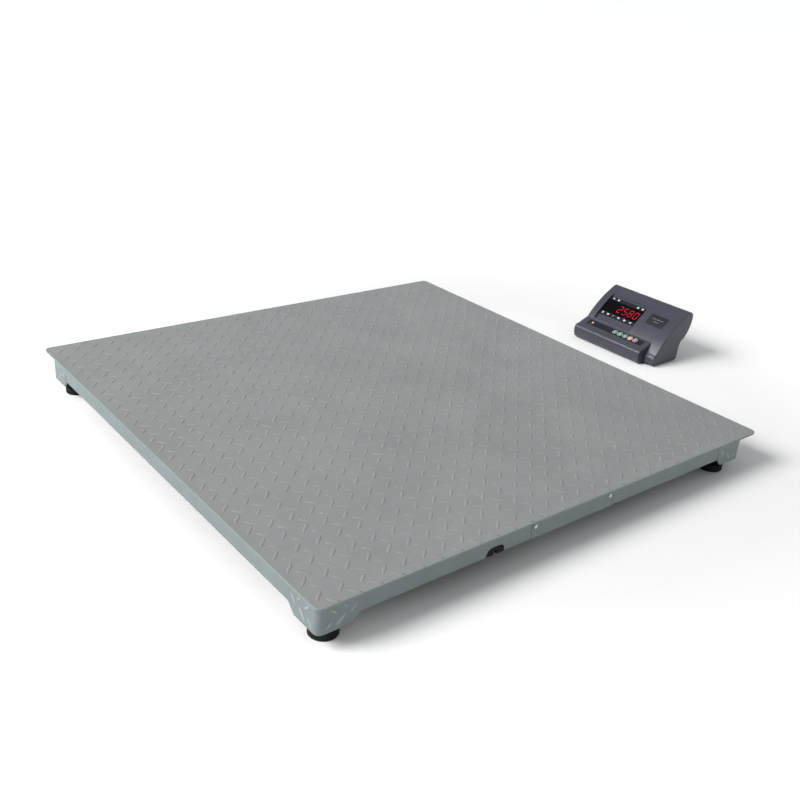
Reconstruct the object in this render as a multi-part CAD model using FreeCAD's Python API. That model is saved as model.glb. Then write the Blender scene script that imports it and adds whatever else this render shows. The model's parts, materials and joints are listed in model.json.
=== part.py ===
import FreeCAD, Part
import math
import os
from FreeCAD import Vector, Placement, Rotation

os.makedirs("parts", exist_ok=True)

# All sizes are in millimetres. +Z is up, and z = 0 is the floor that the feet stand on.
# The platform's front, with the cable outlet and the access cover, faces -Y.
# The indicator stands on the floor beyond the platform's right side and faces -X, so that
# its operator looks at it across the deck.

# ---- platform: driving dimensions ----
deck_side = 1200.0
deck_thickness = 4.5
deck_corner_radius = 14.0
deck_edge_round = 0.8
platform_height = 85.0
deck_overhang = 54.0          # deck reaches past the frame on the right and the rear
weld_step = 1.5               # frame face stands back from the deck edge, left and front

skirt_drop = 37.0             # deck top to the skirts' bottom edge
skirt_thickness = 4.0
skirt_flange = 22.0
skirt_bend_radius = 2.0
skirt_end_gap = 2.0           # between a skirt's end and the corner box

box_drop = 53.0               # deck top to the corner boxes' bottom edge
box_thickness = 4.0
box_bend_radius = 12.0
box_length_bottom = 68.0
box_length_top = 84.0
chamfer_cut = 10.0            # depth of the cut that chamfers a corner box's lower edge

rib_width = 40.0
rib_height = 28.0
rib_thickness = 3.0
rib_bend_radius = 3.0
rib_offsets = (-350.0, -140.0, 140.0, 350.0)   # from the frame's centre line

# ---- load cells: bending-beam type with an M12 foot thread ----
cell_width = 32.0
cell_height = 32.0
cell_length = 130.0
cell_inset = 24.0             # cell side to the frame's outer face
cell_end_inset = 22.0
foot_inset = 40.0             # foot axis to both outer faces of the frame
bolt_pitch = 25.4
foot_to_bolt = 76.2
cell_pocket_radius = 11.0
cell_pocket_depth = 7.0
cell_edge_chamfer = 1.0
cell_plate_thickness = 10.0
cell_plate_width = 60.0
cell_plate_length = 56.0

# ---- M12 hardware and the ball feet ----
m12_radius = 6.0
m12_bore_radius = 6.05
m12_clear_radius = 6.5
m12_hex_radius = 10.97        # across corners, half; 19 mm across flats
bolt_head_height = 7.5
locknut_height = 6.5
pad_radius = 27.0
pad_edge_height = 16.0
pad_height = 22.0
pad_crown_radius = 15.0
pad_edge_round = 1.5
ball_radius = 6.0
ball_clearance = 0.3
ball_centre = 16.0
neck_radius = 3.5
stud_hex_bottom = 24.0
stud_hex_top = 29.0
stud_tip_depth = 4.0          # thread's end below the cell's top
stud_tip_chamfer = 1.0
mouth_play = 0.8              # pad's mouth round the stud's neck, at its narrow end
mouth_flare = 2.4
mouth_depth = 3.5
mouth_length = 4.0
tiny = 0.1                    # tolerances for picking edges by their place
exact = 0.01

# ---- access cover, cable outlet and junction box, placed along the front skirt ----
cover_start = 473.0
cover_length = 230.0
cover_thickness = 3.0
cover_gap = 1.2               # seam round the cover
cover_screw_inset = 10.0
cover_screw_drop = 11.0       # deck top to the screw line
cover_screw_radius = 2.5
cover_hole_radius = 2.7
cover_head_radius = 3.9
cover_head_height = 1.2
cover_tab_width = 20.0
cover_slot_width = 1.0
cover_screw_length = 12.0
screw_play = 0.05
outlet_start = 361.0
outlet_width = 45.0
outlet_height = 18.0
outlet_corner = 14.0
grommet_recess = 0.8          # plug's face behind the skirt's face
grommet_depth = 6.0
grommet_slot_radius = 4.0     # slot for the cable, half its width
grommet_slot_height = 9.0
grommet_slot_flat = 0.4       # half of the short flat at the slot's top

junction_length = 170.0
junction_depth = 90.0
junction_height = 28.0
junction_wall = 3.0
junction_from_front = 40.0
junction_post_inset = 6.5     # lid screws' posts, from the box's outer faces
junction_post_radius = 4.5
gland_thread_radius = 6.0
gland_hex_radius = 9.5
gland_nut_length = 7.0
gland_dome_length = 9.0
gland_bore_radius = 3.2
gland_pitch = 34.0
gland_count = 4
gland_inner_thread = 4.0      # thread that shows inside the box's wall
gland_hole_play = 0.1
gland_dome_step = 1.0
gland_dome_wall = 2.0
junction_corner_radius = 4.0
junction_tap_radius = 1.6
junction_tap_depth = 12.0
junction_screw_radius = 1.5
junction_screw_hole = 2.0
junction_screw_length = 11.0
junction_head_radius = 3.2
junction_head_height = 2.0
board_margin = 16.0           # summing board, from the box's outer faces
board_drop = 8.0              # summing board under the box's ceiling
trimmer_size = 10.0
trimmer_height = 5.0
trimmer_inset = 30.0
terminal_width = 18.0
terminal_depth = 10.0
terminal_height = 7.0
terminal_inset = 22.0

# ---- indicator: driving dimensions ----
indicator_gap = 240.0         # deck edge to the indicator's front
indicator_width = 280.0
indicator_depth = 180.0
indicator_centre_y = 30.0
shell_wall = 2.5
shell_edge_round = 2.5        # round between the end faces and the housing's skin
end_round_steps = 3
rubber_height = 4.0
rubber_radius = 8.0
panel_radius = 290.0          # the convex front panel, seen from the side
ledge_length = 246.0          # key ledge, from the left end
recess_left = 25.0
recess_right = 161.0
window_width = 131.0
window_height = 66.0
window_thickness = 3.0
overlay_left = 22.0
overlay_right = 228.0
overlay_depth = 22.0
overlay_thickness = 0.6
key_radius = 8.2
key_hole_radius = 8.6
key_pitch = 18.6
key_first = 126.0             # first key, from the indicator's left end
key_proud = 1.2
key_cap_depth = 5.0
key_stem_radius = 2.5
key_stem_depth = 10.0
key_names = ("zero_key", "tare_key", "hold_key", "total_key", "power_key")
label_left = 186.0
label_width = 60.0
label_height = 39.0
label_thickness = 0.6
label_drop = 3.5              # label's middle below the window's normal, in degrees
window_rise = 24.0            # window's lower edge, up the recess floor
opening_side_margin = 4.5     # housing's opening behind the window, in from its edges
opening_end_margin = 12.0
opening_reach = 10.0
digit_count = 6
digit_side_margin = 5.5       # digit blocks, in from the window's edges
digit_end_margin = 20.0
digit_gap = 0.5
digit_top = 1.0               # blocks' faces below the recess floor
digit_board_depth = 9.4
digit_board_thickness = 1.6
digit_board_margin = 4.0
digit_board_end_margin = 6.0
key_cap_round = 0.8
switch_radius = 2.5
switch_height = 2.5
switch_gap = 4.5              # key stem's end to the switch board's face, less the stem's overlap
key_board_half_depth = 13.0
key_board_end = 14.0

# ---- inside and behind the indicator; u runs back from its nose, w from its left end ----
tray_step = 5.0               # tray's rim above its bottom
rear_wall_u = 131.0
rear_step_z = 44.0
boss_radius = 4.0
boss_tap_radius = 1.4
boss_length = 20.0
boss_tap_depth = 18.0
case_screw_hole = 1.7
case_head_hole = 3.2
case_head_radius = 3.0
case_head_height = 2.0
case_head_sink = 0.5
case_screw_length = 14.0
rubber_places_u = (42.0, 116.0)
rubber_inset_w = 24.0
rubber_round = 1.0
rear_centre_z = 26.0
rear_face_u = 139.3           # where the sockets' flanges lie
rear_cut_u = 150.0
socket_play = 0.2
inlet_left = 60.0
inlet_width = 27.0
inlet_height = 20.0
inlet_front_u = 118.0
inlet_rim = 3.0
inlet_flange_end_u = 141.5
inlet_well_u = 124.0
inlet_well_end_u = 145.0
blade_pitch = 7.0
blade_width = 2.0
blade_height = 4.0
blade_front_u = 120.0
blade_end_u = 136.0
socket_lefts = (150.0, 205.0)
socket_width = 31.0
socket_height = 12.0
socket_front_u = 124.0
socket_body_end_u = 140.0
socket_flange_side = 4.0
socket_flange_end_u = 140.6
socket_collar_inset = 5.0
socket_collar_end_u = 146.0
socket_wall = 1.5
socket_bore_u = 141.0
socket_bore_end_u = 148.0
main_board_u = (36.0, 76.0)
main_board_w = (20.0, 150.0)
main_board_z = 14.0
chip_u = (46.0, 62.0)
chip_w = (76.0, 100.0)
chip_top = 18.0
converter_u = (44.0, 68.0)
converter_w = (40.0, 60.0)
converter_top = 22.0
post_inset = 4.0
post_radius = 2.5
core_u = (84.0, 116.0)
core_w = (34.0, 84.0)
core_top = 50.0
coil_u = (79.0, 117.0)
coil_w = (42.0, 76.0)
coil_z = (16.0, 42.0)
battery_u = (80.0, 117.0)
battery_w = (165.0, 265.0)
battery_top = 62.0
terminal_places_w = (180.0, 250.0)
battery_terminal_radius = 3.0
battery_terminal_height = 5.0

# ---- derived places ----
overall_length = deck_side + indicator_gap + indicator_depth
deck_left = -overall_length / 2
deck_right = deck_left + deck_side
deck_front = -deck_side / 2
deck_rear = deck_side / 2
deck_underside = platform_height - deck_thickness
frame_left = deck_left + weld_step
frame_right = deck_right - deck_overhang
frame_front = deck_front + weld_step
frame_rear = deck_rear - deck_overhang
frame_middle = Vector((frame_left + frame_right) / 2, (frame_front + frame_rear) / 2, 0)
skirt_bottom = platform_height - skirt_drop
box_bottom = platform_height - box_drop
cell_top = deck_underside - cell_plate_thickness
cell_bottom = cell_top - cell_height
foot_x = frame_left + foot_inset
foot_y = frame_front + foot_inset
indicator_front = deck_right + indicator_gap
indicator_left_y = indicator_centre_y + indicator_width / 2

X = Vector(1, 0, 0)
Y = Vector(0, 1, 0)
Z = Vector(0, 0, 1)
far = 2000.0                  # longer than any piece, for half-space cuts
panel_clearance = 40.0        # reaches from the recess floor out past the panel
board_thickness = 1.6
sharp_corners = 2             # join style of a 2D offset


def save(name, *solids):
    """Write one node, a single solid or a group of separate ones."""
    shape = solids[0] if len(solids) == 1 else Part.makeCompound(list(solids))
    shape.exportStep("parts/" + name + ".step")


def block(x0, y0, z0, x1, y1, z1):
    return Part.makeBox(x1 - x0, y1 - y0, z1 - z0, Vector(x0, y0, z0))


def rod(radius, start, direction, length):
    return Part.makeCylinder(radius, length, start, direction)


def prism(points, direction):
    """Extrude a closed outline of corner points along a vector."""
    wire = Part.makePolygon([Vector(*p) for p in points] + [Vector(*points[0])])
    return Part.Face(wire).extrude(direction)


def hexagon(radius, centre, height):
    corners = []
    for step in range(6):
        angle = math.radians(60 * step)
        corners.append((centre.x + radius * math.cos(angle),
                        centre.y + radius * math.sin(angle), centre.z))
    return prism(corners, Z * height)


def mirrored(shape, right, rear):
    """Carry a front-left corner piece to another corner of the frame."""
    if right:
        shape = shape.mirror(frame_middle, X)
    if rear:
        shape = shape.mirror(frame_middle, Y)
    return shape


corners = {"front_left": (False, False), "front_right": (True, False),
           "rear_left": (False, True), "rear_right": (True, True)}


def plate_rim(shape, height):
    """The edges that lie wholly at one height."""
    return [e for e in shape.Edges
            if abs(e.BoundBox.ZMin - height) < exact and abs(e.BoundBox.ZMax - height) < exact]


# ---- platform structure ----
def deck_plate():
    plate = block(deck_left, deck_front, deck_underside, deck_right, deck_rear, platform_height)
    upright = [e for e in plate.Edges if abs(e.Vertexes[0].Z - e.Vertexes[-1].Z) > 1]
    plate = plate.makeFillet(deck_corner_radius, upright)
    return plate.makeFillet(deck_edge_round, plate_rim(plate, platform_height))


def channel(length):
    """C-channel along +X from the origin: web on y = 0, flanges towards +Y."""
    web = block(0, 0, skirt_bottom, length, skirt_thickness, deck_underside)
    lower = block(0, 0, skirt_bottom, length, skirt_flange, skirt_bottom + skirt_thickness)
    upper = block(0, 0, deck_underside - skirt_thickness, length, skirt_flange, deck_underside)
    shape = web.fuse([lower, upper]).removeSplitter()
    bends = [e for e in shape.Edges if e.Length > length - 1 and e.BoundBox.YMax < exact]
    return shape.makeFillet(skirt_bend_radius, bends)


def skirt(start, angle, length):
    shape = channel(length)
    shape.Placement = Placement(start, Rotation(Z, angle))
    return shape


def outlet_prism(start_x, width, height, corner, y0, depth):
    """An arch open at the skirt's bottom edge, with rounded upper corners."""
    base = skirt_bottom
    top = base + height
    a = Vector(start_x, y0, base - 1)
    b = Vector(start_x, y0, top - corner)
    c = Vector(start_x + corner, y0, top)
    d = Vector(start_x + width - corner, y0, top)
    e = Vector(start_x + width, y0, top - corner)
    f = Vector(start_x + width, y0, base - 1)
    chord = corner * (1 - math.sqrt(0.5))
    left_mid = Vector(start_x + chord, y0, top - chord)
    right_mid = Vector(start_x + width - chord, y0, top - chord)
    edges = [Part.makeLine(a, b), Part.Arc(b, left_mid, c).toShape(), Part.makeLine(c, d),
             Part.Arc(d, right_mid, e).toShape(), Part.makeLine(e, f), Part.makeLine(f, a)]
    return Part.Face(Part.Wire(edges)).extrude(Y * depth)


def cover_screw_places():
    z = platform_height - cover_screw_drop
    first = deck_left + cover_start + cover_screw_inset
    last = deck_left + cover_start + cover_length - cover_screw_inset
    return [Vector(first, frame_front, z), Vector(last, frame_front, z)]


def front_skirt():
    start = frame_left + box_length_top + skirt_end_gap
    length = frame_right - frame_left - 2 * (box_length_top + skirt_end_gap)
    shape = skirt(Vector(start, frame_front, 0), 0, length)
    x0 = deck_left + cover_start
    x1 = x0 + cover_length
    opening = block(x0, frame_front - 1, skirt_bottom + skirt_thickness,
                    x1, frame_front + skirt_thickness, deck_underside - skirt_thickness)
    seat = block(x0, frame_front - 1, skirt_bottom - 1, x1, frame_front + cover_thickness, deck_underside)
    outlet = outlet_prism(deck_left + outlet_start, outlet_width, outlet_height, outlet_corner,
                          frame_front - 1, skirt_flange + 2)
    shape = shape.cut([opening, seat, outlet])
    tab_front = frame_front + cover_thickness
    for tab_x in (x0, x1 - cover_tab_width):
        tab = block(tab_x, tab_front, skirt_bottom + skirt_thickness,
                    tab_x + cover_tab_width, tab_front + skirt_thickness, deck_underside - skirt_thickness)
        shape = shape.fuse(tab)
    for place in cover_screw_places():
        shape = shape.cut(rod(cover_screw_radius, place, Y, skirt_flange))
    return shape.removeSplitter()


def access_cover():
    x0 = deck_left + cover_start + cover_gap
    x1 = x0 + cover_length - 2 * cover_gap
    top = deck_underside - cover_gap
    plate = block(x0, frame_front, skirt_bottom, x1, frame_front + cover_thickness, top)
    for place in cover_screw_places():
        plate = plate.cut(rod(cover_hole_radius, place - Y, Y, cover_thickness + 2))
    return plate


def cover_screws():
    screws = []
    for place in cover_screw_places():
        head = rod(cover_head_radius, place - Y * cover_head_height, Y, cover_head_height)
        half = cover_slot_width / 2
        slot = block(place.x - cover_head_radius, place.y - cover_head_height - 1, place.z - half,
                     place.x + cover_head_radius, place.y - cover_head_height / 2, place.z + half)
        shank = rod(cover_screw_radius - screw_play, place, Y, cover_screw_length)
        screws.append(head.cut(slot).fuse(shank).removeSplitter())
    return screws


def outlet_grommet():
    """Rubber plug that fills the arch, with a slot for the cable in its lower edge."""
    x0 = deck_left + outlet_start
    front = frame_front + grommet_recess
    plug = outlet_prism(x0, outlet_width, outlet_height, outlet_corner, front, grommet_depth)
    slot_start = x0 + outlet_width / 2 - grommet_slot_radius
    slot = outlet_prism(slot_start, 2 * grommet_slot_radius, grommet_slot_height,
                        grommet_slot_radius - grommet_slot_flat, front - 1, grommet_depth + 2)
    above_edge = block(x0 - 1, front - 1, skirt_bottom, x0 + outlet_width + 1,
                       front + grommet_depth + 1, platform_height)
    return plug.cut(slot).common(above_edge)


def corner_box():
    """Bent corner shell for the front-left corner, its lower edges chamfered up to the skirts."""
    length = box_length_top
    outer = block(0, 0, box_bottom, length, length, deck_underside)
    bend = [e for e in outer.Edges if e.BoundBox.XMax < 1 and e.BoundBox.YMax < 1]
    outer = outer.makeFillet(box_bend_radius, bend)
    inner = block(box_thickness, box_thickness, box_bottom - 1, length + 1, length + 1, deck_underside + 1)
    bend = [e for e in inner.Edges if max(e.BoundBox.XMax, e.BoundBox.YMax) < box_thickness + 1]
    inner = inner.makeFillet(box_bend_radius - box_thickness, bend)
    shell = outer.cut(inner)
    low = box_bottom - 1
    along_x = prism([(box_length_bottom - 1, -1, low), (length + 1, -1, low),
                     (length + 1, -1, skirt_bottom + 1)], Y * chamfer_cut)
    along_y = prism([(-1, box_length_bottom - 1, low), (-1, length + 1, low),
                     (-1, length + 1, skirt_bottom + 1)], X * chamfer_cut)
    shell = shell.cut([along_x, along_y])
    shell.translate(Vector(frame_left, frame_front, 0))
    return shell


def deck_rib(offset):
    """U-channel from front to rear, its mouth closed by the deck."""
    x0 = frame_middle.x + offset - rib_width / 2
    y0 = frame_front + skirt_flange + 1
    y1 = frame_rear - skirt_flange - 1
    bottom = deck_underside - rib_height
    outer = block(x0, y0, bottom, x0 + rib_width, y1, deck_underside)
    bends = [e for e in plate_rim(outer, bottom) if e.Length > rib_width + 1]
    outer = outer.makeFillet(rib_bend_radius, bends)
    inner = block(x0 + rib_thickness, y0 - 1, bottom + rib_thickness,
                  x0 + rib_width - rib_thickness, y1 + 1, deck_underside + 1)
    return outer.cut(inner)


# ---- load cells, feet and their hardware, all drawn for the front-left corner ----
def bolt_places():
    first = foot_y + foot_to_bolt
    return [Vector(foot_x, first, 0), Vector(foot_x, first + bolt_pitch, 0)]


def load_cell():
    x0 = frame_left + cell_inset
    y0 = frame_front + cell_end_inset
    beam = block(x0, y0, cell_bottom, x0 + cell_width, y0 + cell_length, cell_top)
    beam = beam.makeChamfer(cell_edge_chamfer, [e for e in beam.Edges if e.Length > cell_length - 1])
    cuts = [rod(m12_bore_radius, Vector(foot_x, foot_y, cell_bottom - 1), Z, cell_height + 2)]
    for place in bolt_places():
        cuts.append(rod(m12_clear_radius, Vector(place.x, place.y, cell_bottom - 1), Z, cell_height + 2))
    web_y = foot_y + foot_to_bolt / 2
    web_z = (cell_bottom + cell_top) / 2
    cuts.append(rod(cell_pocket_radius, Vector(x0, web_y, web_z), X, cell_pocket_depth))
    cuts.append(rod(cell_pocket_radius, Vector(x0 + cell_width, web_y, web_z), X * -1, cell_pocket_depth))
    return beam.cut(cuts)


def cell_plate():
    x0 = frame_left + cell_inset
    y1 = frame_front + cell_end_inset + cell_length
    plate = block(x0, y1 - cell_plate_length, cell_top, x0 + cell_plate_width, y1, deck_underside)
    for place in bolt_places():
        thread = rod(m12_bore_radius, Vector(place.x, place.y, cell_top - 1), Z, cell_plate_thickness + 2)
        plate = plate.cut(thread)
    return plate


def cell_bolt(place):
    head_base = Vector(place.x, place.y, cell_bottom - bolt_head_height)
    head = hexagon(m12_hex_radius, head_base, bolt_head_height)
    shank = rod(m12_radius, Vector(place.x, place.y, cell_bottom), Z, cell_height + cell_plate_thickness - 1)
    return head.fuse(shank).removeSplitter()


def locknut():
    nut = hexagon(m12_hex_radius, Vector(foot_x, foot_y, cell_bottom - locknut_height), locknut_height)
    return nut.cut(rod(m12_bore_radius, Vector(foot_x, foot_y, 0), Z, cell_bottom + 1))


def foot_stud():
    """Ball, neck, hexagon and M12 thread in one turned piece."""
    axis = Vector(foot_x, foot_y, 0)
    ball = Part.makeSphere(ball_radius, axis + Z * ball_centre)
    neck = rod(neck_radius, axis + Z * ball_centre, Z, stud_hex_bottom - ball_centre)
    hexa = hexagon(m12_hex_radius, axis + Z * stud_hex_bottom, stud_hex_top - stud_hex_bottom)
    thread = rod(m12_radius, axis + Z * stud_hex_top, Z, cell_top - stud_tip_depth - stud_hex_top)
    tip = [e for e in thread.Edges if e.BoundBox.ZMin > cell_top - stud_tip_depth - 1]
    thread = thread.makeChamfer(stud_tip_chamfer, tip[:1])
    return ball.fuse([neck, hexa, thread]).removeSplitter()


def foot_pad():
    """Round moulded pad whose socket snaps over the stud's ball."""
    outline = [(0, 0), (pad_radius, 0), (pad_radius, pad_edge_height),
               (pad_crown_radius, pad_height), (0, pad_height)]
    wire = Part.makePolygon([Vector(r, 0, z) for r, z in outline] + [Vector(0, 0, 0)])
    pad = Part.Face(wire).revolve(Vector(0, 0, 0), Z, 360)
    rim = [e for e in pad.Edges if e.BoundBox.ZMax < tiny and e.Length > pad_radius]
    pad = pad.makeFillet(pad_edge_round, rim)
    socket = Part.makeSphere(ball_radius + ball_clearance, Vector(0, 0, ball_centre))
    mouth = Part.makeCone(neck_radius + mouth_play, neck_radius + mouth_flare, mouth_length,
                          Z * (pad_height - mouth_depth))
    pad = pad.cut([socket, mouth])
    pad.translate(Vector(foot_x, foot_y, 0))
    return pad


# ---- junction box behind the access cover ----
junction_x = deck_left + cover_start + cover_length / 2
junction_x0 = junction_x - junction_length / 2
junction_x1 = junction_x + junction_length / 2
junction_y0 = frame_front + junction_from_front
junction_y1 = junction_y0 + junction_depth
junction_bottom = deck_underside - junction_height
gland_z = junction_bottom + junction_height / 2


def gland_places():
    """Four cell glands on the rear wall, then the outgoing one on the left wall."""
    places = []
    for index in range(gland_count):
        x = junction_x + (index - (gland_count - 1) / 2) * gland_pitch
        places.append((Vector(x, junction_y1, gland_z), Y))
    places.append((Vector(junction_x0, (junction_y0 + junction_y1) / 2, gland_z), X * -1))
    return places


def junction_posts():
    inset = junction_post_inset
    return [(x, y) for x in (junction_x0 + inset, junction_x1 - inset)
            for y in (junction_y0 + inset, junction_y1 - inset)]


def junction_body():
    outer = block(junction_x0, junction_y0, junction_bottom, junction_x1, junction_y1, deck_underside)
    outer = outer.makeFillet(junction_corner_radius,
                             [e for e in outer.Edges if abs(e.Length - junction_height) < tiny])
    wall = junction_wall
    inner = block(junction_x0 + wall, junction_y0 + wall, junction_bottom - 1,
                  junction_x1 - wall, junction_y1 - wall, deck_underside - wall)
    shape = outer.cut(inner)
    for x, y in junction_posts():
        shape = shape.fuse(rod(junction_post_radius, Vector(x, y, junction_bottom), Z, junction_height - 1))
        shape = shape.cut(rod(junction_tap_radius, Vector(x, y, junction_bottom - 1), Z, junction_tap_depth))
    for place, outward in gland_places():
        hole_radius = gland_thread_radius + gland_hole_play
        shape = shape.cut(rod(hole_radius, place - outward * (wall + 1), outward, wall + 2))
    return shape.removeSplitter()


def junction_lid():
    lid = block(junction_x0, junction_y0, junction_bottom - junction_wall,
                junction_x1, junction_y1, junction_bottom)
    lid = lid.makeFillet(junction_corner_radius,
                         [e for e in lid.Edges if abs(e.Length - junction_wall) < tiny])
    for x, y in junction_posts():
        lid = lid.cut(rod(junction_screw_hole, Vector(x, y, 0), Z, far))
    return lid


def junction_screws():
    screws = []
    head_bottom = junction_bottom - junction_wall - junction_head_height
    for x, y in junction_posts():
        head = rod(junction_head_radius, Vector(x, y, head_bottom), Z, junction_head_height)
        shank = rod(junction_screw_radius, Vector(x, y, head_bottom + junction_head_height), Z,
                    junction_screw_length)
        screws.append(head.fuse(shank).removeSplitter())
    return screws


def junction_glands():
    glands = []
    for place, outward in gland_places():
        inside = junction_wall + gland_inner_thread
        thread = rod(gland_thread_radius, place - outward * inside, outward, inside)
        nut = hexagon(gland_hex_radius, Vector(0, 0, 0), gland_nut_length)
        dome = Part.makeCone(gland_hex_radius - gland_dome_step, gland_bore_radius + gland_dome_wall,
                             gland_dome_length, Z * gland_nut_length)
        cap = nut.fuse(dome)
        cap.Placement = Placement(place, Rotation(Z, outward))
        bore = rod(gland_bore_radius, place - outward * (inside + 1), outward, junction_from_front)
        glands.append(thread.fuse(cap).cut(bore).removeSplitter())
    return glands


def summing_board():
    z0 = deck_underside - junction_wall - board_drop
    board = block(junction_x0 + board_margin, junction_y0 + board_margin, z0,
                  junction_x1 - board_margin, junction_y1 - board_margin, z0 + board_thickness)
    for index in range(gland_count):
        x = junction_x + (index - (gland_count - 1) / 2) * gland_pitch
        front = junction_y0 + trimmer_inset
        trimmer = block(x - trimmer_size / 2, front, z0 - trimmer_height,
                        x + trimmer_size / 2, front + trimmer_size, z0)
        rear = junction_y1 - terminal_inset
        terminal = block(x - terminal_width / 2, rear - terminal_depth, z0 - terminal_height,
                         x + terminal_width / 2, rear, z0)
        board = board.fuse([trimmer, terminal])
    return board.removeSplitter()


# ---- indicator: side profile in (u, z), u running back from the key ledge's nose ----
def place_uz(u, z, w=0.0):
    return Vector(indicator_front + u, indicator_left_y - w, z)


panel_foot = (34.0, 34.0)
panel_top = (158.0, 142.0)
rear_foot = (152.0, 64.0)
ledge_back = (56.0, 61.0)
ledge_nose = (14.0, 44.5)
recess_top = (131.0, 124.0)
recess_foot = (57.0, 58.5)
base_z = rubber_height

# ---- side profile of the housing, as (u, z); a bulge is the middle of the arc to the next point ----
body_front = (30.0, base_z)
body_chin_bulge = (25.2, 9.0)
body_chin = (25.0, 16.0)
panel_root_bulge = (27.5, 26.0)
rear_shelf_top = (143.0, 58.0)
rear_shelf_end = (139.0, 44.0)
rear_wall_foot = (137.0, 12.0)
rear_foot_bulge = (134.5, 6.2)
body_rear = (128.0, base_z)
ledge_front = (8.0, base_z)
ledge_chin_bulge = (1.0, 17.0)
ledge_chin = (0.0, 32.0)
ledge_nose_bulge = (4.2, 41.3)
ledge_root_top = (70.0, 61.0)
ledge_root_foot = (70.0, base_z)


def arc_middle(start, end, radius):
    """Middle point of the convex arc between two (u, z) points, and the arc's centre."""
    du = end[0] - start[0]
    dz = end[1] - start[1]
    chord = math.hypot(du, dz)
    to_centre = math.sqrt(radius ** 2 - chord ** 2 / 4)
    normal = (-dz / chord, du / chord)
    middle = ((start[0] + end[0]) / 2, (start[1] + end[1]) / 2)
    centre = (middle[0] - normal[0] * to_centre, middle[1] - normal[1] * to_centre)
    return (centre[0] + normal[0] * radius, centre[1] + normal[1] * radius), centre


def upright_arc_middle(start, end):
    """Middle point of the arc from start to end that stands upright where it ends."""
    du = end[0] - start[0]
    dz = start[1] - end[1]
    radius = (du ** 2 + dz ** 2) / (2 * du)
    half = math.atan2(dz, radius - du) / 2
    return (end[0] - radius + radius * math.cos(half), end[1] + radius * math.sin(half))


def upright_end(start, centre):
    """Where the arc that goes on smoothly from the panel stands upright, at the housing's back."""
    reach = math.dist(start, centre)
    normal = ((start[0] - centre[0]) / reach, (start[1] - centre[1]) / reach)
    radius = (indicator_depth - start[0]) / (1 - normal[0])
    return (indicator_depth, start[1] - radius * normal[1])


panel_middle, panel_centre = arc_middle(panel_foot, panel_top, panel_radius)
rear_edge = upright_end(panel_top, panel_centre)


def uz_wire(steps):
    """A closed wire from (end,) line steps and (middle, end) arc steps."""
    edges = []
    here = steps[0]
    for step in steps[1:]:
        if len(step) == 2 and isinstance(step[0], tuple):
            edges.append(Part.Arc(place_uz(*here), place_uz(*step[0]), place_uz(*step[1])).toShape())
            here = step[1]
        else:
            edges.append(Part.makeLine(place_uz(*here), place_uz(*step)))
            here = step
    return Part.Wire(edges)


def body_wire():
    return uz_wire([body_front, (body_chin_bulge, body_chin), (panel_root_bulge, panel_foot),
                    (panel_middle, panel_top),
                    (upright_arc_middle(panel_top, rear_edge), rear_edge),
                    (upright_arc_middle(rear_foot, rear_edge), rear_foot),
                    rear_shelf_top, rear_shelf_end, rear_wall_foot,
                    (rear_foot_bulge, body_rear), body_front])


def ledge_wire():
    return uz_wire([ledge_front, (ledge_chin_bulge, ledge_chin), (ledge_nose_bulge, ledge_nose),
                    ledge_back, ledge_root_top, ledge_root_foot, ledge_front])


def swept(wire, w0, w1):
    solid = Part.Face(wire).extrude(Y * -(w1 - w0))
    solid.translate(Y * -w0)
    return solid


def along(start, end, distance):
    """The unit direction from start to end, and the point at a distance along it."""
    length = math.hypot(end[0] - start[0], end[1] - start[1])
    du = (end[0] - start[0]) / length
    dz = (end[1] - start[1]) / length
    return (du, dz), (start[0] + du * distance, start[1] + dz * distance)


def slab(start, end, depth, height, w0, w1):
    """A flat board lying under (depth < 0) or over (height > 0) the line from start to end."""
    (du, dz), _ = along(start, end, 0)
    out = (-dz, du)
    corners_uz = [(start[0] + out[0] * depth, start[1] + out[1] * depth),
                  (end[0] + out[0] * depth, end[1] + out[1] * depth),
                  (end[0] + out[0] * height, end[1] + out[1] * height),
                  (start[0] + out[0] * height, start[1] + out[1] * height)]
    return swept(uz_wire(corners_uz + [corners_uz[0]]), w0, w1)


def recess_space(w0, w1, sink):
    """Everything in front of the recess floor, or of a longer plane a little under it."""
    reach = 5 * sink
    start = along(recess_foot, recess_top, -reach)[1]
    end = along(recess_top, recess_foot, -reach)[1]
    return slab(start, end, -sink, panel_clearance, w0, w1)


ledge_slope, ledge_middle = along(ledge_nose, ledge_back, math.dist(ledge_nose, ledge_back) / 2)
ledge_out = Vector(-ledge_slope[1], 0, ledge_slope[0])
window_slope, window_foot = along(recess_foot, recess_top, window_rise)
_, window_head = along(recess_foot, recess_top, window_rise + window_height)
window_left = (recess_left + recess_right - window_width) / 2
window_right = window_left + window_width


def key_places():
    return [place_uz(*ledge_middle, w=key_first + key_pitch * index) for index in range(len(key_names))]


boss_places = [(42.0, 6.0), (42.0, 274.0), (118.0, 6.0), (118.0, 274.0)]


def round_ended(wire, w0, w1):
    """Sweep a profile and round its two end faces off in a few ruled steps."""
    sections = [(0.0, wire)]
    for step in range(end_round_steps):
        angle = math.radians(90 - 90 * (step + 1) / end_round_steps)
        inset = shell_edge_round * (1 - math.sin(angle))
        section = Part.Face(wire).makeOffset2D(-inset, sharp_corners).OuterWire
        sections.append((shell_edge_round * math.cos(angle), section))
    solid = swept(wire, w0 + shell_edge_round, w1 - shell_edge_round)
    for (near, inner), (out, outer) in zip(sections, sections[1:]):
        for end, sign in ((w0 + shell_edge_round, -1), (w1 - shell_edge_round, 1)):
            pair = [inner.copy(), outer.copy()]
            pair[0].translate(Y * -(end + sign * near))
            pair[1].translate(Y * -(end + sign * out))
            solid = solid.fuse(Part.makeLoft(pair, True, True))
    return solid.removeSplitter()


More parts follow.
